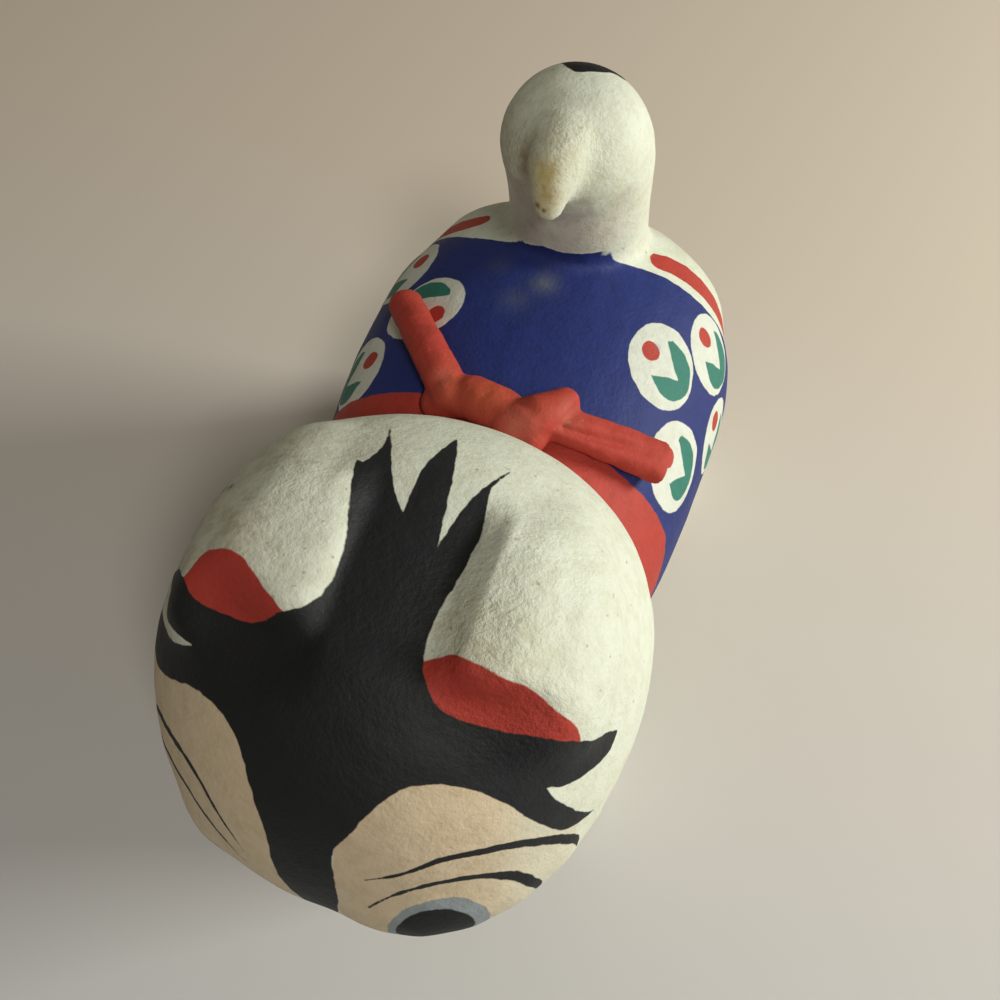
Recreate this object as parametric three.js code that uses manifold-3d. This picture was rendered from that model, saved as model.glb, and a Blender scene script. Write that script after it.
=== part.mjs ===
// A papier-mache dog: a paper shell coated in thick white and painted, on four stub legs, with a curled
// tail, and a modelled bow stuck on at the nape. Millimetres, +Z up. The dog looks along -Y and its left
// side is +X. The origin is on the ground, in the middle of the bounding box.
import * as THREE from "three";
import { mergeVertices } from "three/addons/utils/BufferGeometryUtils.js";
import Module from "manifold-3d";

const wasm = await Module();
wasm.setup();

// ---- driving dimensions ----
const SKULL = { centre: [0, -36, 76], left: 30.9, right: 32.8, front: 32.3, back: 32.8, up: 29, down: 27, taper: 0.05 };
const EYE_BULGES = [
  { centre: [6.8, -40, 76], half: [23, 29.2, 16] },
  { centre: [-11.5, -55, 77], half: [11.5, 11.2, 11] },
];
const MUZZLE = { centre: [0, -54.5, 60], half: [12, 13, 9] };
const HEAD_LEAN = 0.05; // radians: the head hangs a little to the dog's left
// The two ears were shaped by hand and differ: the right one is broader at the back of the head, and the
// left one's edge is straighter and further forward. A lobe's stations are those of form() below.
const EAR_LOBES = [
  [
    [8, -15, 80.5, 7, 8],
    [11.5, -24, 87.5, 11.5, 12],
    [14, -34, 90.5, 12.5, 13.5],
    [14, -42, 90, 12.5, 14.5],
  ],
  [
    [-10, -14.5, 80, 8.5, 8.5],
    [-13.5, -24, 87, 13, 12.7],
    [-14.8, -34, 90, 13.2, 13.8],
    [-14.5, -42, 89.5, 13, 14.5],
  ],
];
const EAR_HOLLOWS = [
  { centre: [17, -56, 112.5], half: [40, 15.5, 15.5], tilt: 0.3 },
  { centre: [-17, -51.5, 113], half: [22, 15.5, 15.5], tilt: -0.3 },
];
const TAIL_Y = 43;
const LEG_X = 16.5;
const FORE_LEG_Y = -29;
const HIND_LEG_Y = 42;
const FORE_HIP = [5, 5, 16, 16];
const HIND_HIP = [4, -7, 17, 19];
const SOLE_SINK = 4; // how far the leg forms run under the ground before they are cut flat
const BOW_GAP = 0.3; // clearance that the figure keeps from the bow stuck to it

const asIs = (place) => place;
const mirrored = ([x, ...rest]) => [-x, ...rest];

// ---- clay forms ----

// A closed form along a smooth spine. Each station is [x, y, z, halfWidth, halfDepth]: the width lies
// along `side`, the depth across it. Both ends are round caps of the given lengths. A squareness over 2
// flattens the section's sides, and `grow` swells the whole form.
function form(stations, { caps = [], sides = 24, rings = 12, squareness = 2, side = [1, 0, 0], grow = 0 } = {}) {
  const spine = new THREE.CatmullRomCurve3(stations.map(([x, y, z]) => new THREE.Vector3(x, y, z)));
  const sizes = new THREE.CatmullRomCurve3(stations.map(([, , , w, d]) => new THREE.Vector3(w, d ?? w, 0)));
  const capRings = 5;
  const lastRow = 2 * capRings + rings;
  const geometry = new THREE.SphereGeometry(1, sides, lastRow);
  const position = geometry.getAttribute("position");
  const round = (value) => Math.sign(value) * Math.abs(value) ** (2 / squareness);
  for (let row = 0; row <= lastRow; row++) {
    const t = THREE.MathUtils.clamp((row - capRings) / rings, 0, 1);
    const centre = spine.getPoint(t);
    const along = spine.getTangent(t);
    const size = sizes.getPoint(t);
    const rowsIntoCap = Math.max(capRings - row, row - capRings - rings, 0);
    const angle = ((rowsIntoCap / capRings) * Math.PI) / 2;
    const capLength = (caps[t] ?? (size.x + size.y) / 2) + grow;
    centre.addScaledVector(along, (t === 0 ? -1 : 1) * capLength * Math.sin(angle));
    const across = new THREE.Vector3().crossVectors(new THREE.Vector3(...side), along).normalize();
    const sideways = new THREE.Vector3().crossVectors(along, across);
    for (let column = 0; column <= sides; column++) {
      const turn = (2 * Math.PI * (column % sides)) / sides;
      const point = centre.clone();
      point.addScaledVector(sideways, round(Math.cos(turn)) * (size.x + grow) * Math.cos(angle));
      point.addScaledVector(across, round(Math.sin(turn)) * (size.y + grow) * Math.cos(angle));
      position.setXYZ(row * (sides + 1) + column, point.x, point.y, point.z);
    }
  }
  return geometry;
}

// An egg with its own reach to each side, the front, back, top and bottom, and a slightly square plan. The
// taper makes it narrower in front and wider behind.
function egg({ centre, left, right, front, back, up, down, taper }, { sides, rings, squareness }) {
  const geometry = new THREE.SphereGeometry(1, sides, rings);
  const position = geometry.getAttribute("position");
  const round = (value) => Math.sign(value) * Math.abs(value) ** (2 / squareness);
  for (let i = 0; i < position.count; i++) {
    const [x, y, z] = [position.getX(i), position.getY(i), position.getZ(i)];
    const plan = Math.hypot(x, y) || 1;
    const [u, v] = [plan * round(x / plan), plan * round(y / plan)];
    position.setXYZ(
      i,
      u * (u < 0 ? right : left) * (1 + taper * v),
      v * (v < 0 ? front : back),
      z * (z < 0 ? down : up),
    );
  }
  return geometry.translate(...centre);
}

// ---- joining ----

function solid(geometry) {
  const bare = geometry.clone();
  bare.deleteAttribute("normal");
  bare.deleteAttribute("uv");
  const welded = mergeVertices(bare, 1e-4);
  const vertProperties = new Float32Array(welded.attributes.position.array);
  const corners = Uint32Array.from(welded.index.array);
  const make = () => new wasm.Manifold(new wasm.Mesh({ numProp: 3, vertProperties, triVerts: corners }));
  const made = make();
  if (made.volume() > 0) return made;
  for (let i = 0; i < corners.length; i += 3) [corners[i], corners[i + 1]] = [corners[i + 1], corners[i]];
  return make();
}

const joined = (solids) => solids.reduce((whole, piece) => whole.add(piece));

function toGeometry(manifold) {
  const { numProp, vertProperties, triVerts } = manifold.getMesh();
  const points = new Float32Array((vertProperties.length / numProp) * 3);
  for (let i = 0; i < points.length / 3; i++) {
    points.set(vertProperties.subarray(i * numProp, i * numProp + 3), i * 3);
  }
  const geometry = new THREE.BufferGeometry();
  geometry.setAttribute("position", new THREE.BufferAttribute(points, 3));
  geometry.setIndex(new THREE.BufferAttribute(triVerts, 1));
  geometry.computeVertexNormals();
  return geometry;
}

// ---- the figure ----

const inHead = (geometry) =>
  geometry
    .translate(...SKULL.centre.map((value) => -value))
    .rotateY(HEAD_LEAN)
    .translate(...SKULL.centre);

// The skull, with the two ears: lobes that swell forward from the nape, each scooped to a ridge in front.
function head() {
  const ears = EAR_LOBES.map((stations) => solid(inHead(form(stations, { caps: [3, 9], rings: 10 }))));
  const hollows = EAR_HOLLOWS.map(({ centre, half, tilt }) =>
    solid(inHead(new THREE.SphereGeometry(1, 24, 14).scale(...half).rotateY(tilt).translate(...centre))),
  );
  const skull = solid(inHead(egg(SKULL, { sides: 40, rings: 25, squareness: 2.15 })));
  const bulges = [MUZZLE, ...EYE_BULGES].map(({ centre, half }) =>
    solid(inHead(new THREE.SphereGeometry(1, 20, 12).scale(...half).translate(...centre))),
  );
  return joined([skull, ...bulges, ...ears]).subtract(joined(hollows));
}

function trunk() {
  return solid(
    form(
      [
        [-1.5, -31, 42, 23, 22],
        [-1.5, -13, 47.5, 28, 26.5],
        [-1.3, 10, 49, 31, 28],
        [-0.4, 30, 49.5, 31.6, 27],
        [-0.2, 41, 48.5, 28.8, 25],
      ],
      { caps: [14, 18], sides: 36, rings: 14, squareness: 2.3 },
    ),
  );
}

// A stub leg: `hip` is [inset, offset toward the middle, halfWidth, halfDepth] of its buried top.
function leg([x, y], [inset, offset, hipWidth, hipDepth], flip) {
  const stations = [
    [x - inset, y + offset, 44, hipWidth, hipDepth],
    [x, y, 18, 11.5, 12.5],
    [x + 0.5, y, -SOLE_SINK, 11.5, 12.5],
  ];
  return solid(form(stations.map(flip), { caps: [8, 2], sides: 20, rings: 5 }));
}

// The tail stands up, ends in a round head and curls forward to a small point.
function tail() {
  const stem = form(
    [
      [0.4, TAIL_Y + 1, 62, 12, 12],
      [0.4, TAIL_Y + 1, 76, 11.3, 11.3],
      [0.2, TAIL_Y, 90, 11.6, 11.6],
      [0, TAIL_Y - 2.5, 95, 11.1, 11.1],
    ],
    { caps: [6, 9], rings: 14 },
  );
  const point = form(
    [
      [-0.2, TAIL_Y - 7, 98.5, 5.5, 5.5],
      [-0.2, TAIL_Y - 12.5, 98.5, 4, 4],
      [0, TAIL_Y - 16, 94.5, 2.3, 2.3],
    ],
    { caps: [4, 2], sides: 14, rings: 6 },
  );
  return joined([solid(stem), solid(point)]);
}

function figure() {
  const legs = [asIs, mirrored].flatMap((flip) => [
    leg([LEG_X, FORE_LEG_Y], FORE_HIP, flip),
    leg([LEG_X, HIND_LEG_Y], HIND_HIP, flip),
  ]);
  const ground = solid(new THREE.BoxGeometry(200, 200, 40).translate(0, 0, -20));
  return joined([trunk(), head(), tail(), ...legs]).subtract(ground);
}

// ---- the neck bow ----

// A soft rolled cord over the nape, a lumpy knot, one round free end and one that was pinched flat.
function bow(grow) {
  const cord = form(
    [
      [-10.5, 2.6, 75.5, 2.6, 2.4],
      [-6.5, 3.6, 77.5, 3.3, 3],
      [-1, 2.4, 79, 3.4, 3],
      [6, 0, 78, 3, 2.8],
    ],
    { side: [0, 1, 0], caps: [2, 2], sides: 14, rings: 9, grow },
  );
  const knot = form(
    [
      [2.5, 0, 79.5, 3, 2.8],
      [6, 2, 80.5, 3, 2.8],
      [8.7, 5.5, 79.5, 2.3, 2.3],
    ],
    { side: [0, 1, 0], sides: 14, rings: 6, grow },
  );
  const roundEnd = form(
    [
      [-7.7, 2.8, 78, 3, 2.7],
      [-13.1, 9.2, 78, 2.8, 2.6],
      [-21.4, 19.5, 74.5, 2.7, 2.6],
    ],
    { caps: [2, 2], sides: 14, rings: 8, grow },
  );
  const flatEnd = form(
    [
      [8.3, 2.5, 78.5, 2.4, 2.4],
      [15, 3.3, 76, 2.9, 2],
      [24.1, 4.6, 71.1, 3.2, 2.1],
    ],
    { side: [0, 1, 0], caps: [2, 0.4], sides: 14, rings: 8, squareness: 2.6, grow },
  );
  return joined([cord, knot, roundEnd, flatEnd].map(solid));
}

// ---- the dog ----

const dog = new THREE.Group();

function add(name, geometry, color, roughness) {
  const mesh = new THREE.Mesh(geometry, new THREE.MeshStandardMaterial({ color, roughness, metalness: 0 }));
  mesh.name = name;
  dog.add(mesh);
}

add("dog_figure", toGeometry(figure().subtract(bow(BOW_GAP))), 0xd9d8c6, 0.85);
add("neck_bow", toGeometry(bow(0)), 0xb8352c, 0.8);

// The clay was built round the middle of the body. The whole dog is centred on its bounding box here.
const box = new THREE.Box3().setFromObject(dog);
const middle = box.getCenter(new THREE.Vector3());
for (const mesh of dog.children) mesh.geometry.translate(-middle.x, -middle.y, -box.min.z);

export default dog;
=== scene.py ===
# A papier-mache folk dog with a red bow. Metres in Blender, millimetres and degrees in the painting.
import math

import bmesh
import bpy
import numpy as np
from mathutils import Euler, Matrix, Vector, noise


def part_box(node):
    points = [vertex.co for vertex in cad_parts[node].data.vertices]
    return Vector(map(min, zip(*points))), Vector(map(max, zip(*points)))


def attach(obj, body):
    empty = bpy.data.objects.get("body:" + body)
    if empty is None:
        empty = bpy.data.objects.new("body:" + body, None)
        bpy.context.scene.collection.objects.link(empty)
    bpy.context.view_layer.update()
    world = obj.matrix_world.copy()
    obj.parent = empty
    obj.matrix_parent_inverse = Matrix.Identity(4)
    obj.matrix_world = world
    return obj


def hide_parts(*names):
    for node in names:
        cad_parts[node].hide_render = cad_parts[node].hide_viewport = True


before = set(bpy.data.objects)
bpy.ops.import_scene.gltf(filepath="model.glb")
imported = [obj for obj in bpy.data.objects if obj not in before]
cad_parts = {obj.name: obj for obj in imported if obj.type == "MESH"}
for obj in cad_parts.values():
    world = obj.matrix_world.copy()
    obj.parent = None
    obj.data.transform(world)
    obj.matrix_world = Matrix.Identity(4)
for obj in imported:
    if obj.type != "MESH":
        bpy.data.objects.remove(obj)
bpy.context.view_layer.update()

# ---- The figure: one hollow shell ----
# Old paper pasted in layers over a wooden form, cut off it, glued shut and coated thickly with ground
# shell in glue. Head, ears, body, legs and tail are one shell, so it is one piece.

SHELL_VOXEL = 0.95e-3
SHELL_SMOOTHING = 10
COAT_FACTOR = 0.5  # how far each smoothing pass moves a vertex toward its neighbours' middle
TOUCHING = 1e-6  # vertices nearer than this are one
MM = 1000.0


def skin_over(node, name, voxel, smoothing):
    """One closed skin over a solid: the paper bridges its sharp inner corners."""
    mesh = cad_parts[node].data.copy()
    mesh.materials.clear()
    bm = bmesh.new()
    bm.from_mesh(mesh)
    bmesh.ops.remove_doubles(bm, verts=bm.verts, dist=TOUCHING)
    bm.to_mesh(mesh)
    bm.free()
    solid = bpy.data.objects.new(name, mesh)
    bpy.context.scene.collection.objects.link(solid)
    wrap = solid.modifiers.new("pasted paper", "REMESH")
    wrap.mode = "VOXEL"
    wrap.voxel_size = voxel
    coat = solid.modifiers.new("brushed coat", "SMOOTH")
    coat.factor = COAT_FACTOR
    coat.iterations = smoothing
    bpy.context.view_layer.update()
    skin = bpy.data.meshes.new_from_object(solid.evaluated_get(bpy.context.evaluated_depsgraph_get()))
    skin.name = name
    solid.modifiers.clear()
    solid.data = skin
    return solid


def places(mesh):
    """Every vertex's place, in metres."""
    co = np.empty(len(mesh.vertices) * 3)
    mesh.vertices.foreach_get("co", co)
    return co.reshape(-1, 3)


def swell(mesh, heights):
    """Moves each vertex along its normal by heights, in metres."""
    normal = np.empty(len(mesh.vertices) * 3)
    mesh.vertex_normals.foreach_get("vector", normal)
    mesh.vertices.foreach_set("co", (places(mesh) + normal.reshape(-1, 3) * heights[:, None]).ravel())
    mesh.update()


def lumpy(mesh, lumps):
    """Height of the uneven pulp at each vertex, in mm, from lumps of (width, height) in mm."""
    points = places(mesh) * MM
    rise = np.zeros(len(points))
    for width, height in lumps:
        rise += height * np.array([noise.noise(Vector(p) / width) for p in points])
    return rise


def fit_to_solid(mesh, node):
    """Stretches a skin by a few hundredths so that it is as large as its solid again."""
    low, high = np.array(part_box(node))
    co = places(mesh)
    least, most = co.min(0), co.max(0)
    mesh.vertices.foreach_set("co", (low + (co - least) * (high - low) / (most - least)).ravel())
    mesh.update()


dog = skin_over("dog_figure", "dog_skin", SHELL_VOXEL, SHELL_SMOOTHING)

# Uneven pulp: broad dents, lumps as wide as a fingertip, and small wrinkles of the pasted sheets.
SHELL_LUMPS = [(22, 0.30), (9, 0.13), (3.5, 0.05)]
swell(dog.data, lumpy(dog.data, SHELL_LUMPS) / MM)

# The ears stand up steeply on both sides of a flat strip along the crown.
STANDS_AT = np.array([0.86, 5.15, 0])  # where the legs' middle stands in the frame, in mm
SKULL = np.array([0, -36, 76])  # middle of the head
HEAD_LEAN = 0.05  # in radians, toward the dog's left
HEAD_REACH = 38  # no part of the head is further from its middle, in mm
CROWN_STRIP = (12, 16.5)  # degrees across: flat to the first, and ending at the second
CROWN_DEPTH = 1.7  # in mm
EAR_RIMS = [(1, 16, 20, 37, 1.9), (-1, 13, 22, 44, 1.8)]  # side, foot, rim, end in degrees, height in mm
EARS_BEGIN = (67, 77)  # degrees up from the nose, over which they rise in front
EARS_END = (104, 122)  # and over which they sink again behind
EASE_OFF = 1.5e-3  # no ear rises past the tail's top, which it nears softly within this height


def on_the_head(mesh):
    """Degrees across the head and up from the nose, and distance from its middle, for each vertex."""
    rel = places(mesh) * MM - STANDS_AT - SKULL
    hx = rel[:, 0] * math.cos(HEAD_LEAN) - rel[:, 2] * math.sin(HEAD_LEAN)
    hz = rel[:, 0] * math.sin(HEAD_LEAN) + rel[:, 2] * math.cos(HEAD_LEAN)
    reach = np.linalg.norm(rel, axis=1)
    return np.degrees(np.arcsin(np.clip(hx / reach, -1, 1))), np.degrees(np.arctan2(hz, -rel[:, 1])), reach


def ease(value, low, high):
    """Rises softly from 0 at low to 1 at high."""
    t = np.clip((value - low) / (high - low), 0, 1)
    return t * t * (3 - 2 * t)


across, up, reach = on_the_head(dog.data)
length = ease(up, *EARS_BEGIN) * (1 - ease(up, *EARS_END)) * (reach < HEAD_REACH)
rims = -CROWN_DEPTH * (1 - ease(np.abs(across), *CROWN_STRIP))
for side, foot, rim, end, height in EAR_RIMS:
    rims += height * ease(side * across, foot, rim) * (1 - ease(side * across, rim, end))
swell(dog.data, rims * length / MM)
co = places(dog.data)
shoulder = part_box("dog_figure")[1][2] - EASE_OFF
above = (co[:, 2] - shoulder) / EASE_OFF
co[:, 2] = np.where(above > 0, shoulder + EASE_OFF * np.tanh(above), co[:, 2])
dog.data.vertices.foreach_set("co", co.ravel())
fit_to_solid(dog.data, "dog_figure")

# ---- The painting on the figure ----
# Brushed on in flat colours: black forehead marking and brows, red ears, neck band and haunch strokes,
# and a blue cloth with white rounds, each with a red dot and a green crescent. The cream round the
# eyes is mostly painted warm shade on the face, with some yellowing of the coat in it.

# Body paint stays out of an egg round the head's middle: its radii in mm, enlarged by this factor.
HEAD_RADII = np.array([32, 32.8, 28])
HEAD_CLEAR = 1.03
BODY_AXIS = 49  # height of the body's middle line in mm
GIRTH = 30  # radius of the back in mm, by which degrees down the flank become mm
CURVE_STEPS = 5  # straight pieces between two points of an outline
SHORTEST = 1e-9  # stands in for the squared length of a piece that has none
FAR_OUTSIDE = -1e3  # depth in mm where there is no paint at all

# Head outlines are given in degrees: across the head toward the dog's left, and up from the nose over
# the crown to the nape. Each run of an outline is smooth, starts where the run before it ended, and ends
# in a sharp corner.
FOREHEAD_MARK = [
    [(-10, 114), (-5, 106.5)],
    [(-4.5, 119), (-1, 135)],
    [(3, 118), (6, 99)],
    [(8, 112), (14, 129)],
    [(12, 119), (14, 108), (13.5, 95), (11, 80), (12, 71)],
    [(16, 65), (21, 63), (29, 62.5), (40, 64), (53, 65), (66, 68)],
    [(64, 56), (58, 49.5), (51, 46.5), (45, 47.5)],
    [(48, 43), (53, 37), (64, 20)],
    [
        (54, 24.5), (47.5, 32), (40, 40.3), (34.8, 44.8), (28.9, 47.5), (22.5, 48.3), (16.7, 47.2),
        (12, 44), (8.3, 38.6), (5.8, 33.2), (3.4, 29),
    ],
    [(3, 25), (4, 17), (4.5, 8), (3, -10)],
    [(8, -16), (7, -24), (0, -28), (-7, -24), (-8, -16), (-3, -10)],
    [(-5, 4), (-7.5, 10), (-9.5, 17), (-11.5, 26), (-14.5, 32), (-18.5, 39.5)],
    [(-22, 44), (-26, 46.5), (-31, 48), (-39, 47.5), (-51, 41.5), (-60, 38), (-70, 42), (-78, 56)],
    [(-67, 56), (-55, 55), (-46, 56), (-40, 58.5)],
    [(-46, 60), (-56, 62.5), (-66, 70), (-74, 80)],
    [(-58, 80), (-45, 75), (-41, 70), (-36, 69), (-30, 69), (-24, 71.5), (-20, 74)],
    [(-16, 77), (-14, 84), (-14.5, 95), (-17, 106), (-20, 118)],
    [(-18, 117)],
    [(-16, 124), (-17, 134)],
]
LEFT_EAR_RED = [
    [(13, 73.5), (17, 76)],
    [(21, 75.3), (26, 74.3), (31, 74), (36, 72), (40, 70), (44, 68), (47, 64)],
    [(40, 60), (28, 58), (14, 62), (11, 72)],
]
RIGHT_EAR_RED = [
    [(-44, 76), (-41, 82), (-35, 84), (-31, 83), (-29, 81), (-25, 77.5), (-18.8, 73.2)],
    [(-26, 66), (-38, 65), (-46, 71)],
]
# The cream round each eye: mostly painted warm shade on the face, with some yellowing of the coat.
LEFT_EYE_SHADE = [
    [
        (3, 30), (7, 38), (14, 47), (25, 51), (38, 47), (48, 36), (55, 27), (58, 14), (55, 0),
        (44, -9), (28, -13),
    ],
    [(14, -10), (5, 2), (3, 30)],
]
RIGHT_EYE_SHADE = [
    [
        (-3, 30), (-9, 38), (-16, 48), (-28, 52), (-44, 50), (-60, 45), (-68, 36), (-66, 20),
        (-58, 2), (-46, -12),
    ],
    [(-30, -19), (-14, -14), (-5, 2), (-3, 30)],
]
# Brows and mouth are strokes: (across, up, width), all in degrees.
BROWS = [
    [
        (10, 21, 0.4), (17, 24.5, 0.9), (25, 29, 1.4), (35, 30, 2), (43, 28, 2.2), (52, 21.5, 2.6),
        (57.5, 12, 2.2), (58, 4, 0.8),
    ],
    [
        (11, 10, 0.4), (16, 16.5, 0.9), (22, 20, 1.3), (29, 21, 1.6), (36, 19, 1.9), (42, 14.5, 2.4),
        (46, 6, 2.4), (47, -2, 0.8),
    ],
    [
        (-16, 14, 0.3), (-20, 19, 0.7), (-27, 25, 1.1), (-34, 28, 1.4), (-42, 28, 1.5),
        (-51, 25, 1.8), (-58, 16, 0.8),
    ],
    [
        (-16, 9, 0.3), (-21, 13, 0.7), (-27, 16, 1), (-34, 18, 1.3), (-41, 18, 1.5), (-48, 16, 1.6),
        (-55, 8, 0.8),
    ],
]
# The black mark on the tail's top: its outline from above, and the height that it stays over, in mm.
TAIL_MARK_ABOVE = 96
TAIL_MARK = [
    [(-0.8, 44), (2.3, 45.2), (3.7, 46.4), (5.5, 46.8)],
    [(6.3, 49), (4.5, 52.5), (0, 53.6), (-3.4, 51.5), (-4.6, 48)],
    [(-2.8, 45.1)],
]
MOUTH = [
    (-17, -34, 0.8), (-9, -39, 2), (-3, -37, 2), (0, -32, 1.6),
    (3, -37, 2), (9, -39, 2), (17, -34, 0.8),
]
# Eyes: (across, up, radius) in degrees.
EYE_RINGS = [(25, 3.3, 10.3), (-27, -7, 10.2)]
PUPILS = [(24.2, 3.2, 7.8), (-25.5, -7, 8.2)]

# The red neck band, seen from the side: (along, height) of the edge that the cloth meets, in mm.
BAND_EDGE = [
    (3.8, 82), (3.2, 76), (2.2, 71), (1.7, 65), (1.2, 58),
    (-3, 50), (-11, 44), (-24, 40), (-46, 38), (-62, 37),
]
BAND_WIDTH = 11
BAND_SKEW = 0.06  # the band sits further forward on the dog's left
# The cloth's rear edge: (degrees down the flank, along). There is a dip in it under the tail.
CLOTH_REAR = [
    (-110, 41), (-56, 40), (-34, 36.6), (-15, 35.1), (-8.4, 33.7), (-3.5, 33.3),
    (6.5, 33.9), (12.4, 34.4), (15.5, 35.4), (27, 37.4), (38, 38.2), (110, 38.5),
]
CLOTH_HEM = 112  # degrees down each flank
CLOTH_UNDER_BAND = 1  # how far the cloth runs on under the band and past its own rounds, in mm
# No cloth or haunch stroke is higher than this at the tail's foot: sideways places, and heights there.
TAIL_FOOT = (-6, -2.5), (77.3, 79.3)
# White rounds: degrees down the flank, along, half length, half width, and the turn of the figure in it.
ROUNDS = [
    (42.2, 21.5, 7.3, 6.4, 10), (60.3, 31, 6.9, 6.1, 9), (60.5, 8.8, 7.1, 7.1, 32), (80.5, 22, 6.6, 6, 8),
    (-37.5, 20.5, 7, 6.1, 58), (-56, 31.5, 6.8, 6.5, 4), (-56, 9.4, 6.9, 6, -4), (-79, 21, 6.6, 6, 0),
]
ROUND_DOT = (-2.7, 1.5, 1.65)  # outward, rearward and radius
CRESCENT = [
    [(1.3, 4.9), (4.1, 3.6), (5.7, 0.8), (5.4, -2.4), (3, -4.9), (0.2, -4.9), (-2.2, -2.5)],
    [(0, -1.9), (3.1, -1.2)],
    [(1.5, 1.4), (0.1, 4.5)],
    [(1.3, 4.9)],
]
# Red strokes over the haunches: (degrees down the flank, along, width in mm).
HAUNCHES = [
    [(33, 41.2, 3.6), (42, 42.4, 4.2), (54, 42.6, 4), (68, 42.2, 3.4), (88, 40.5, 2.6), (104, 37, 1)],
    [(-37, 42.2, 3.6), (-44, 42, 4.2), (-56, 42.4, 4), (-70, 42.2, 3.4), (-88, 40.5, 2.6), (-104, 37, 1)],
]


def flowing(runs):
    """The closed polygon of an outline whose runs are smooth and meet in corners.

    Between two points a run is the Catmull-Rom curve through them, cut into a few straight steps.
    """
    polygon = []
    corner = runs[-1][-1]
    for run in runs:
        p = np.array([corner] + run, float)
        p = np.vstack([2 * p[0] - p[1], p, 2 * p[-1] - p[-2]])
        for i in range(1, len(p) - 2):
            for t in np.arange(CURVE_STEPS) / CURVE_STEPS:
                a, b, c, d = p[i - 1 : i + 3]
                slope = (c - a) * t
                curve = (2 * a - 5 * b + 4 * c - d) * t**2
                twist = (3 * b - a - 3 * c + d) * t**3
                polygon.append(tuple((2 * b + slope + curve + twist) / 2))
        corner = run[-1]
    return polygon


def flowing_stroke(line):
    """The same for an open stroke, whose width changes smoothly too."""
    loop = flowing([line[1:], [line[0]]])
    return loop[: CURVE_STEPS * (len(line) - 1) + 1]


def sides(outline):
    """The straight sides of a closed polygon, as pairs of points."""
    return zip(outline, outline[1:] + outline[:1])


def inside(points, outline):
    """Crossing test of points in a plane against a closed polygon."""
    u, v = points.T
    within = np.zeros(len(points), bool)
    for (ua, va), (ub, vb) in sides(outline):
        if va != vb:
            within ^= ((va > v) != (vb > v)) & (u < (ub - ua) * (v - va) / (vb - va) + ua)
    return within


def to_segment(points, a, b, squeeze):
    """Distance from points to a segment, and how far along it. The second axis is shortened by squeeze."""
    au, av = a[0] - points[:, 0], (a[1] - points[:, 1]) * squeeze
    du, dv = b[0] - a[0], (b[1] - a[1]) * squeeze
    t = np.clip(-(au * du + av * dv) / np.maximum(du * du + dv * dv, SHORTEST), 0, 1)
    return np.hypot(au + t * du, av + t * dv), t


def patch(points, runs, squeeze=1.0):
    """How deep inside an outline each point lies; negative outside."""
    outline = flowing(runs)
    depth = np.min([to_segment(points, a, b, squeeze)[0] for a, b in sides(outline)], 0)
    return np.where(inside(points, outline), depth, -depth)


def stroke(points, line, squeeze=1.0):
    """How deep inside a brush stroke of changing width each point lies; negative outside."""
    best = np.full(len(points), FAR_OUTSIDE)
    line = flowing_stroke(line)
    for (ua, va, wa), (ub, vb, wb) in zip(line, line[1:]):
        away, t = to_segment(points, (ua, va), (ub, vb), squeeze)
        best = np.maximum(best, (wa + (wb - wa) * t) / 2 - away)
    return best


def head_painting(mesh):
    """Depth in mm inside each colour on the head, for every vertex. Negative is outside it."""
    across, up, reach = on_the_head(mesh)
    head = np.stack([across, up], 1)
    squeeze = np.cos(np.radians(across))

    def eyes(rounds):
        return np.max([r - np.hypot(across - a, (up - u) * squeeze) for a, u, r in rounds], 0)

    mark = patch(head, FOREHEAD_MARK, squeeze)
    brows = np.max([stroke(head, line, squeeze) for line in BROWS], 0)
    ears = np.maximum(patch(head, LEFT_EAR_RED, squeeze), patch(head, RIGHT_EAR_RED, squeeze))
    in_degrees = {
        "cream_shade": np.maximum(patch(head, LEFT_EYE_SHADE, squeeze), patch(head, RIGHT_EYE_SHADE, squeeze)),
        "ring": eyes(EYE_RINGS),
        "ink": np.max([mark, brows, eyes(PUPILS)], 0),
        "red": np.maximum(ears, stroke(head, MOUTH, squeeze)),
    }
    per_degree = math.radians(1) * reach
    return {name: np.minimum(deep * per_degree, HEAD_REACH - reach) for name, deep in in_degrees.items()}


def round_painting(flank):
    """Depth in mm inside the white rounds, their red dots and their green crescents."""
    rounds, dots, crescents = [np.full(len(flank), FAR_OUTSIDE) for _ in range(3)]
    dot_out, dot_back, dot_radius = ROUND_DOT
    for down, along, half_length, half_width, turn in ROUNDS:
        side = math.copysign(1, down)
        u, v = ((flank - (math.radians(down) * GIRTH, along)) * (side, 1)).T
        s, c = math.sin(math.radians(turn)), math.cos(math.radians(turn))
        outward, rearward = u * c + v * s, v * c - u * s
        rounds = np.maximum(rounds, half_length - np.hypot(outward * half_length / half_width, rearward))
        dots = np.maximum(dots, dot_radius - np.hypot(outward - dot_out, rearward - dot_back))
        crescents = np.maximum(crescents, patch(np.stack([outward, rearward], 1), CRESCENT))
    return rounds, dots, crescents


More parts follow.
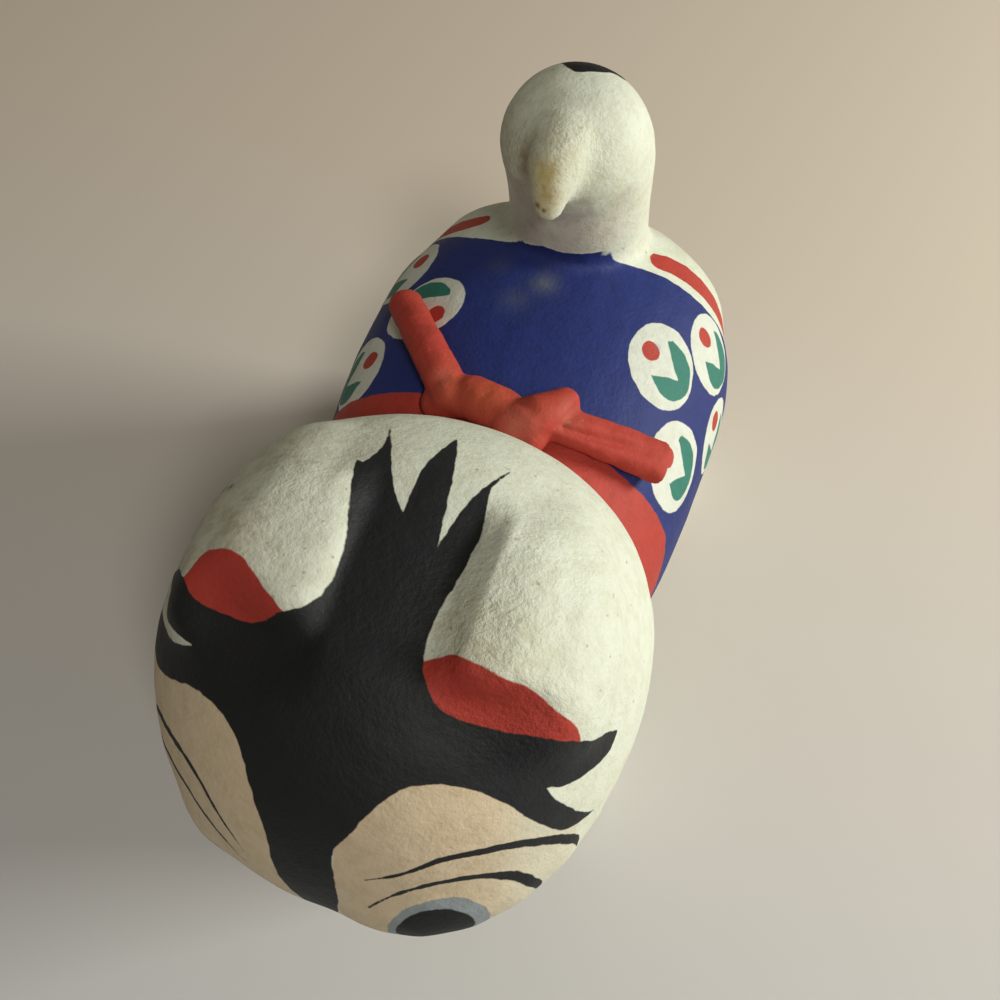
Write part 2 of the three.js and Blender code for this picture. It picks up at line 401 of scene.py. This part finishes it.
def painting(mesh):
    """Depth in mm inside each colour, for every vertex of the skin. Negative is outside it."""
    deep = head_painting(mesh)
    at = places(mesh) * MM - STANDS_AT
    x, y, z = at.T
    tail_mark = np.minimum(patch(at[:, :2], TAIL_MARK), z - TAIL_MARK_ABOVE)
    off_head = (np.linalg.norm((at - SKULL) / HEAD_RADII, axis=1) - HEAD_CLEAR) * HEAD_RADII.mean()
    below_tail = np.interp(x, *TAIL_FOOT) - z
    # how far behind the edge where band and cloth meet
    edge_along, edge_height = np.array(BAND_EDGE)[::-1].T
    from_side = np.stack([y + BAND_SKEW * x, z], 1)
    from_edge = np.min([to_segment(from_side, a, b, 1.0)[0] for a, b in zip(BAND_EDGE, BAND_EDGE[1:])], 0)
    behind_edge = np.copysign(from_edge, from_side[:, 0] - np.interp(z, edge_height, edge_along))
    band = np.min([-behind_edge, behind_edge + BAND_WIDTH, off_head], 0)
    # the body rolled out flat, in mm down the flank and mm along
    girth = np.degrees(np.arctan2(x, z - BODY_AXIS))
    flank = np.stack([np.radians(girth) * GIRTH, y], 1)
    rear = np.interp(girth, *zip(*CLOTH_REAR)) - y
    hem = np.radians(CLOTH_HEM - np.abs(girth)) * GIRTH
    cloth = np.min([rear, hem, behind_edge + CLOTH_UNDER_BAND, below_tail, off_head], 0)
    near_cloth = cloth + CLOTH_UNDER_BAND
    rounds, dots, crescents = [np.minimum(figure, near_cloth) for figure in round_painting(flank)]
    strokes = [[(math.radians(g) * GIRTH, a, w) for g, a, w in line] for line in HAUNCHES]
    haunches = np.minimum(np.max([stroke(flank, line) for line in strokes], 0), below_tail)
    deep["ink"] = np.maximum(deep["ink"], tail_mark)
    deep["red"] = np.max([deep["red"], band, dots, haunches], 0)
    return deep | {"cloth": cloth, "round": rounds, "green": crescents}


# The skin is cut finer along the painted edges, twice, so that they stay sharp.
EDGE_MARGINS = (0.45, 0.15)  # how near to an edge, in mm
CUT_SMOOTHING = 0.4
for margin in EDGE_MARGINS:
    deep = painting(dog.data)
    nearest = np.min(np.abs(list(deep.values())), 0)
    bm = bmesh.new()
    bm.from_mesh(dog.data)
    bm.verts.ensure_lookup_table()
    edges = [e for e in bm.edges if min(nearest[v.index] for v in e.verts) < margin]
    made = bmesh.ops.subdivide_edges(bm, edges=edges, cuts=1, use_grid_fill=True)
    fresh = [v for v in made["geom_inner"] if isinstance(v, bmesh.types.BMVert)]
    bmesh.ops.smooth_vert(
        bm, verts=fresh, factor=CUT_SMOOTHING, use_axis_x=True, use_axis_y=True, use_axis_z=True
    )
    bm.to_mesh(dog.data)
    bm.free()
dog.data.shade_smooth()

# Age and handling, and painted shade: (x, y, z from where it stands, reach in mm, strength) of each soft
# mark. The brown marks are partly real yellowing and crust, and partly painted shade on the dog's right
# side of the head and tail, away from the window, and in the crease under the tail's curled tip.
STAINS_AND_SHADE = {
    "soil_and_shade": [
        (-18, -23.5, 101, 6, 0.35), (-18, -37, 103, 7, 0.45), (-24, -38, 97, 12, 0.45),
        (-24, -29.8, 99, 1.6, 0.5), (-9, -21, 101, 5, 0.2), (11.5, -41, 103, 4, 0.22),
        (19, -47, 100, 6, 0.18), (-5.5, 31, 99, 4.5, 0.65), (-8, 36, 97, 7, 0.35),
        (-6, 33, 92, 4, 0.3), (4.2, 31.2, 94, 1.7, 0.35), (9.2, 35.3, 91.4, 2, 0.25),
    ],
    "ochre": [
        (-0.7, 27.8, 100.9, 2.3, 1), (-0.6, 26.6, 99.4, 2.2, 0.9), (-0.4, 25.7, 97.2, 2.3, 0.9),
        (-0.4, 25, 95.3, 1.8, 0.5), (1.5, 32, 103, 5, 0.2), (13, -41, 103, 7, 0.16),
    ],
    "crust": [
        (1.5, 32, 103, 4.6, 1), (4, 34, 101, 4, 0.6), (-6, 33, 98, 4, 0.5), (13, -39, 103.5, 8, 1),
        (20, -45, 99, 7, 0.8), (18, -31, 101, 9, 0.6), (25, -38, 93, 8, 0.5), (-14, -30, 104, 8, 0.3),
    ],
    "blush": [(6.5, -2.5, 80.5, 3.2, 0.55), (2.5, 36, 84, 7, 0.22)],
    "scuff": [
        (-0.8, 27.9, 76.7, 2.1, 0.75), (-4.5, 23.5, 76.7, 2.4, 0.3), (-9, 30, 76, 2, 0.2),
        (18.6, 23.9, 72.4, 0.7, 0.5),
    ],
}
# Over the outer side of the left eye's cream, where the window lights the face, the cream gives way to
# white: a painted highlight. Degrees across and up.
HIGHLIGHT_STRENGTH = 0.7
HIGHLIGHT_ACROSS = (30, 48)
HIGHLIGHT_ABOVE = (-16, -6)
HIGHLIGHT_BELOW = (42, 50)
DEEPEST = 3  # depths are kept up to this, in mm


def soft_spots(at, spots):
    """Strength of soft round marks at each point: stains and painted shade alike."""
    near = [s * np.exp(-((np.linalg.norm(at - (x, y, z), axis=1) / r) ** 2)) for x, y, z, r, s in spots]
    return np.max(near, 0)


def keep_layer(mesh, name, values):
    """Keeps a value for each vertex, for the material to read."""
    layer = mesh.attributes.new(name, "FLOAT", "POINT")
    layer.data.foreach_set("value", values.astype(np.float32))


layers = painting(dog.data)
at = places(dog.data) * MM - STANDS_AT
for name, spots in STAINS_AND_SHADE.items():
    layers[name] = soft_spots(at, spots)
across, up, reach = on_the_head(dog.data)
from_outside = ease(across, *HIGHLIGHT_ACROSS) * ease(up, *HIGHLIGHT_ABOVE) * (1 - ease(up, *HIGHLIGHT_BELOW))
layers["painted_highlight"] = HIGHLIGHT_STRENGTH * from_outside * (reach < HEAD_REACH)
for name, values in layers.items():
    keep_layer(dog.data, name, np.clip(values, -DEEPEST, DEEPEST))

# The colours, in the order in which they were laid on, and whether each is soft, as stains, painted shade
# and painted highlight are.
SHELL_WHITE = (0.68, 0.72, 0.605, 1)
PAINTS = [
    # partly yellowing and crust, partly painted shade away from the window and in a crease
    ("soil_and_shade", (0.26, 0.18, 0.09, 1), True),
    ("ochre", (0.53, 0.42, 0.17, 1), True),
    ("blush", (0.60, 0.28, 0.22, 1), True),
    # mostly painted warm shade round the eyes, with some yellowing of the coat
    ("cream_shade", (0.66, 0.54, 0.37, 1), False),
    # painted highlight: white over the cream where the window lights the face
    ("painted_highlight", (0.68, 0.70, 0.57, 1), True),
    ("cloth", (0.016, 0.030, 0.165, 1), False),
    ("round", (0.66, 0.70, 0.62, 1), False),
    ("green", (0.03, 0.19, 0.145, 1), False),
    ("red", (0.43, 0.046, 0.031, 1), False),
    ("ring", (0.28, 0.32, 0.34, 1), False),
    ("ink", (0.012, 0.0135, 0.0155, 1), False),
    ("scuff", (0.13, 0.15, 0.18, 1), True),
]
# Pits and fly specks, and paler chips in the paint: (x, y, z, radius) in mm.
PITS = [
    (-1.3, 25.7, 96.2, 0.45), (-0.2, 25.2, 95.9, 0.35), (-16.5, -29.8, 103.5, 0.35),
    (-13, -25.1, 102.3, 0.3), (-11.8, -38.6, 104, 0.3), (-24.4, -29.6, 98.5, 0.5),
    (-22.6, -29.7, 100, 0.4), (17, -27, 100.5, 0.3), (-3.5, 34, 101.5, 0.35),
    (-6.5, 31.5, 97.5, 0.4), (26, -38, 92, 0.35),
]
CHIPS = [
    (-2.6, -51.3, 101.2, 0.2), (-9.1, -61.4, 92.3, 0.16), (19.6, -48.3, 97.2, 0.16),
    (20.5, -46, 98.7, 0.16),
]
SPOTS = [(PITS, (0.10, 0.06, 0.03, 1)), (CHIPS, (0.45, 0.42, 0.36, 1))]
# Noise in the coated paper: (clumps in a metre, detail, roughness).
PULP = (330, 5, 0.6)
FIBRES = (1500, 4, 0.65)
FIBRE_SHARE = 0.55  # of the pulp's height
# The same for marks, with the noise at which a mark begins and is full.
GRAIN_MARKS = [
    ("Specks", (1100, 1, 0.4), 0.73, 0.78),
    ("Blotches", (45, 4, 0.55), 0.45, 0.75),
    ("Mottling", (420, 6, 0.7), 0.42, 0.66),
]


def node_group(name, inputs, outputs):
    """An empty group, with its entry and its way out."""
    group = bpy.data.node_groups.new(name, "ShaderNodeTree")
    for in_out, sockets in (("INPUT", inputs), ("OUTPUT", outputs)):
        for socket, kind in sockets:
            group.interface.new_socket(socket, in_out=in_out, socket_type="NodeSocket" + kind)
    return group, group.nodes.new("NodeGroupInput"), group.nodes.new("NodeGroupOutput")


def paper_grain():
    """Fibres and pits of the coated paper: a height, and masks of specks, blotches and fine mottling."""
    floats = [("Height", "Float")] + [(mark, "Float") for mark, *_ in GRAIN_MARKS]
    group, entry, out = node_group("paper grain", [("Place", "Vector")], floats)
    n, link = group.nodes, group.links.new

    def cloud(scale, detail, rough):
        tex = n.new("ShaderNodeTexNoise")
        tex.inputs["Scale"].default_value = scale
        tex.inputs["Detail"].default_value = detail
        tex.inputs["Roughness"].default_value = rough
        link(entry.outputs["Place"], tex.inputs["Vector"])
        return tex.outputs["Fac"]

    def ramp(value, low, high):
        node = n.new("ShaderNodeMapRange")
        node.interpolation_type = "SMOOTHSTEP"
        node.inputs["From Min"].default_value = low
        node.inputs["From Max"].default_value = high
        link(value, node.inputs["Value"])
        return node.outputs["Result"]

    height = n.new("ShaderNodeMath")
    height.operation = "MULTIPLY_ADD"
    height.inputs[1].default_value = FIBRE_SHARE
    link(cloud(*FIBRES), height.inputs[0])
    link(cloud(*PULP), height.inputs[2])
    link(height.outputs[0], out.inputs["Height"])
    for mark, clumps, low, high in GRAIN_MARKS:
        link(ramp(cloud(*clumps), low, high), out.inputs[mark])
    return group


def spot():
    """A round spot with a soft rim."""
    group, entry, out = node_group(
        "spot", [("Place", "Vector"), ("Centre", "Vector"), ("Radius", "Float")], [("Mask", "Float")]
    )
    n, link = group.nodes, group.links.new
    away = n.new("ShaderNodeVectorMath")
    away.operation = "DISTANCE"
    link(entry.outputs["Place"], away.inputs[0])
    link(entry.outputs["Centre"], away.inputs[1])
    fade = n.new("ShaderNodeMapRange")
    fade.inputs["To Min"].default_value = 1
    fade.inputs["To Max"].default_value = 0
    fade.inputs["From Min"].default_value = 0
    link(entry.outputs["Radius"], fade.inputs["From Max"])
    link(away.outputs["Value"], fade.inputs["Value"])
    link(fade.outputs["Result"], out.inputs["Mask"])
    return group


grain = paper_grain()
round_spot = spot()
GRAIN_HEIGHT = 0.00026  # metres
GRAIN_STRENGTH = 0.8
CRUST_ROUGHER = 2.2  # a full crust is rougher by this many times the grain
SHEEN_OF_GLUE = 0.3
SHADOWED = (0.83, 0.81, 0.73, 1)  # what blotches and mottling multiply a colour by, where they are full
BLOTCHED = 0.4
MOTTLED = 0.55
SPECK = (0.30, 0.22, 0.13, 1)
SPECKED = 0.5
# A brushed edge wanders by this many mm, in so many clumps to a metre, and fades between two depths.
WANDER = 0.5
WANDER_CLUMPS = 600
EDGE_FADE = (0.17, 0.33)
# A soft layer, stain, painted shade or painted highlight alike, is so strong where the paper has no
# mottling, and by so much stronger where it has.
STAIN_LEAST = 0.78
STAIN_MORE = 0.45
SPOT_RIM = 1.6  # a spot's soft rim ends at this many times its radius


def painted_material(name, ground, paints, spots, roughness):
    """Matt paint on paper: a ground colour, paints (layer, colour, soft), and spots (places, colour)."""
    material = bpy.data.materials.new(name)
    material.use_nodes = True
    n, link = material.node_tree.nodes, material.node_tree.links.new
    shader = n["Principled BSDF"]
    shader.inputs["Roughness"].default_value = roughness
    shader.inputs["Specular IOR Level"].default_value = SHEEN_OF_GLUE
    place = n.new("ShaderNodeTexCoord").outputs["Object"]
    paper = n.new("ShaderNodeGroup")
    paper.node_tree = grain
    link(place, paper.inputs["Place"])

    def math_node(operation, *values):
        node = n.new("ShaderNodeMath")
        node.operation = operation
        for value, socket in zip(values, node.inputs):
            if isinstance(value, (int, float)):
                socket.default_value = value
            else:
                link(value, socket)
        return node.outputs[0]

    bump = n.new("ShaderNodeBump")
    bump.inputs["Strength"].default_value = GRAIN_STRENGTH
    bump.inputs["Distance"].default_value = GRAIN_HEIGHT
    crust = n.new("ShaderNodeAttribute")
    crust.attribute_name = "crust"
    rougher = math_node("MULTIPLY_ADD", crust.outputs["Fac"], CRUST_ROUGHER, 1.0)
    link(math_node("MULTIPLY", paper.outputs["Height"], rougher), bump.inputs["Height"])
    link(bump.outputs["Normal"], shader.inputs["Normal"])

    def blend(factor, under, over, amount=1.0, kind="MIX"):
        mix = n.new("ShaderNodeMix")
        mix.data_type = "RGBA"
        mix.blend_type = kind
        link(factor if amount == 1.0 else math_node("MULTIPLY", factor, amount), mix.inputs["Factor"])
        sockets = [i for i in mix.inputs if i.type == "RGBA"]
        for socket, colour in zip(sockets, (under, over)):
            if isinstance(colour, tuple):
                socket.default_value = colour
            else:
                link(colour, socket)
        return [o for o in mix.outputs if o.type == "RGBA"][0]

    colour = blend(paper.outputs["Blotches"], ground, SHADOWED, BLOTCHED, "MULTIPLY")
    colour = blend(paper.outputs["Specks"], colour, SPECK, SPECKED)
    wobble = n.new("ShaderNodeTexNoise")
    wobble.inputs["Scale"].default_value = WANDER_CLUMPS
    link(place, wobble.inputs["Vector"])
    for paint, shade, soft in paints:
        depth = n.new("ShaderNodeAttribute")
        depth.attribute_name = paint
        if soft:
            patchy = math_node("MULTIPLY_ADD", paper.outputs["Mottling"], STAIN_MORE, STAIN_LEAST)
            colour = blend(math_node("MULTIPLY", depth.outputs["Fac"], patchy), colour, shade)
            continue
        ragged = math_node("MULTIPLY_ADD", wobble.outputs["Fac"], WANDER, depth.outputs["Fac"])
        edge = n.new("ShaderNodeMapRange")
        edge.inputs["From Min"].default_value, edge.inputs["From Max"].default_value = EDGE_FADE
        link(ragged, edge.inputs["Value"])
        colour = blend(edge.outputs["Result"], colour, shade)
    for centres, shade in spots:
        for x, y, z, radius in centres:
            mark = n.new("ShaderNodeGroup")
            mark.node_tree = round_spot
            mark.inputs["Centre"].default_value = (STANDS_AT + (x, y, z)) / MM
            mark.inputs["Radius"].default_value = SPOT_RIM * radius / MM
            link(place, mark.inputs["Place"])
            colour = blend(mark.outputs["Mask"], colour, shade)
    colour = blend(paper.outputs["Mottling"], colour, SHADOWED, MOTTLED, "MULTIPLY")
    link(colour, shader.inputs["Base Color"])
    return material


SHELL_ROUGHNESS = 0.62
dog.data.materials.append(painted_material("painted_paper", SHELL_WHITE, PAINTS, SPOTS, SHELL_ROUGHNESS))
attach(dog, "root")
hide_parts("dog_figure")

# ---- The neck bow ----
# A cord of paper clay, rolled by hand, tied in a flat knot over the nape and glued on, then painted red.
# One end is round, the other was pinched flat.

BOW_VOXEL = 0.45e-3
BOW_SMOOTHING = 6
BOW_COAT = 0.2  # thickness of its paint, in mm
BOW_LUMPS = [(3, 0.22), (1.2, 0.07)]
bow = skin_over("neck_bow", "neck_bow_skin", BOW_VOXEL, BOW_SMOOTHING)
swell(bow.data, (BOW_COAT + lumpy(bow.data, BOW_LUMPS)) / MM)
# Creases pressed in by the fingers: start, end, reach and depth in mm.
CREASES = [
    ((10.5, 0.8, 80.4), (22, 3.6, 75.8), 0.75, 1.1),
    ((13, 4.5, 79.8), (21, 6.2, 75.6), 0.7, 0.3),
    ((-9, 4.4, 81.5), (-11.8, 2.6, 80.4), 0.8, 0.6),
    ((0, 5, 82), (5.5, 0.5, 84), 0.9, 0.5),
    ((9.6, 0.5, 80.8), (11.4, 5.5, 80.6), 0.9, 0.6),
    ((-4, 1.2, 82.6), (-8.5, 4.2, 81.4), 0.7, 0.3),
]
at = places(bow.data) * MM - STANDS_AT
pressed = np.zeros(len(at))
for start, end, width, depth in CREASES:
    start = np.array(start)
    run = np.array(end) - start
    t = np.clip((at - start) @ run / (run @ run), 0, 1)
    away = np.linalg.norm(at - start - t[:, None] * run, axis=1)
    pressed -= depth * np.exp(-((away / width) ** 2))
swell(bow.data, pressed / MM)
fit_to_solid(bow.data, "neck_bow")
bow.data.shade_smooth()
# Where hands rubbed it, the red has turned orange, and paste shows in the creases round the knot.
BOW_WEAR = {
    "rubbed": [(-7, 2.5, 83, 4, 0.7), (-2, 2.5, 84, 4.5, 0.8), (6, 1, 86, 3, 0.5)],
    "paste": [(4, -1, 81.5, 2.6, 0.5), (10.5, 2.5, 81.5, 2, 0.45), (-9.5, 4, 81, 1.6, 0.4)],
}
for name, spots in BOW_WEAR.items():
    keep_layer(bow.data, name, soft_spots(at, spots))
BOW_RED = (0.44, 0.052, 0.035, 1)
BOW_PAINTS = [("rubbed", (0.54, 0.115, 0.045, 1), True), ("paste", (0.46, 0.17, 0.11, 1), True)]
BOW_ROUGHNESS = 0.7
bow.data.materials.append(painted_material("bow_red", BOW_RED, BOW_PAINTS, [], BOW_ROUGHNESS))
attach(bow, "root")
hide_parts("neck_bow")

# ---- The table, the light and the camera ----
# A plain sheet of pale paper to stand on, a window on the dog's left, a weak ceiling lamp, and a camera
# above the head. The paper's tint, warm behind the dog and cooler before it, is painted light: warm light
# behind the dog and bluish fill light before it.

TABLE_HALF = 1.5  # metres
# Painted light: the paper's tint in the warm light behind the dog and the bluish fill light before it.
PAPER_IN_WARM_LIGHT = (0.69, 0.61, 0.505, 1)
PAPER_IN_COOL_LIGHT = (0.62, 0.645, 0.67, 1)
WARM_AT = 0.12  # along Y
COOL_AT = -0.13
PAPER_ROUGHNESS = 0.9

bm = bmesh.new()
bmesh.ops.create_grid(bm, x_segments=1, y_segments=1, size=TABLE_HALF)
table_mesh = bpy.data.meshes.new("table")
bm.to_mesh(table_mesh)
bm.free()
table = bpy.data.objects.new("table", table_mesh)
bpy.context.scene.collection.objects.link(table)
sheet = bpy.data.materials.new("table")
sheet.use_nodes = True
n, link = sheet.node_tree.nodes, sheet.node_tree.links.new
where = n.new("ShaderNodeSeparateXYZ")
link(n.new("ShaderNodeTexCoord").outputs["Object"], where.inputs[0])
cooler = n.new("ShaderNodeMapRange")
cooler.inputs["From Min"].default_value = WARM_AT
cooler.inputs["From Max"].default_value = COOL_AT
link(where.outputs["Y"], cooler.inputs["Value"])
shades = n.new("ShaderNodeMix")
shades.data_type = "RGBA"
link(cooler.outputs["Result"], shades.inputs["Factor"])
warm, cool = [i for i in shades.inputs if i.type == "RGBA"]
warm.default_value = PAPER_IN_WARM_LIGHT
cool.default_value = PAPER_IN_COOL_LIGHT
shade = [o for o in shades.outputs if o.type == "RGBA"][0]
link(shade, n["Principled BSDF"].inputs["Base Color"])
n["Principled BSDF"].inputs["Roughness"].default_value = PAPER_ROUGHNESS
table_mesh.materials.append(sheet)

LIT_POINT = Vector((0, 0, 0.05))


def lamp(name, place, size, watts, colour):
    """A soft square light that looks at the dog's middle."""
    light = bpy.data.lights.new(name, "AREA")
    light.size = size
    light.energy = watts
    light.color = colour
    holder = bpy.data.objects.new(name, light)
    holder.location = place
    holder.rotation_euler = (LIT_POINT - Vector(place)).to_track_quat("-Z", "Y").to_euler()
    bpy.context.scene.collection.objects.link(holder)


lamp("window", place=(0.53, 0.21, 0.27), size=0.17, watts=3.25, colour=(1.0, 0.99, 0.92))
lamp("ceiling", place=(0.28, -0.28, 0.66), size=0.12, watts=1.6, colour=(1.0, 0.96, 0.90))
ROOM_LIGHT = (1.0, 0.90, 0.74, 1)
ROOM_STRENGTH = 0.15
world = bpy.data.worlds.new("room air")
world.use_nodes = True
background = world.node_tree.nodes["Background"]
background.inputs["Color"].default_value = ROOM_LIGHT
background.inputs["Strength"].default_value = ROOM_STRENGTH
bpy.context.scene.world = world
bpy.context.scene.view_settings.view_transform = "Standard"

CAMERA_AT = (0.03142, -0.0732, 0.2137)
CAMERA_TURN = (27.83, 2.01, 17.60)  # degrees
SENSOR = 36  # mm
LENS = 39.6  # mm
NEAREST_SEEN = 0.01
camera_data = bpy.data.cameras.new("camera")
camera_data.sensor_width = SENSOR
camera_data.lens = LENS
camera_data.clip_start = NEAREST_SEEN
camera = bpy.data.objects.new("camera", camera_data)
camera.location = CAMERA_AT
camera.rotation_euler = Euler([math.radians(a) for a in CAMERA_TURN])
bpy.context.scene.collection.objects.link(camera)
bpy.context.scene.camera = camera
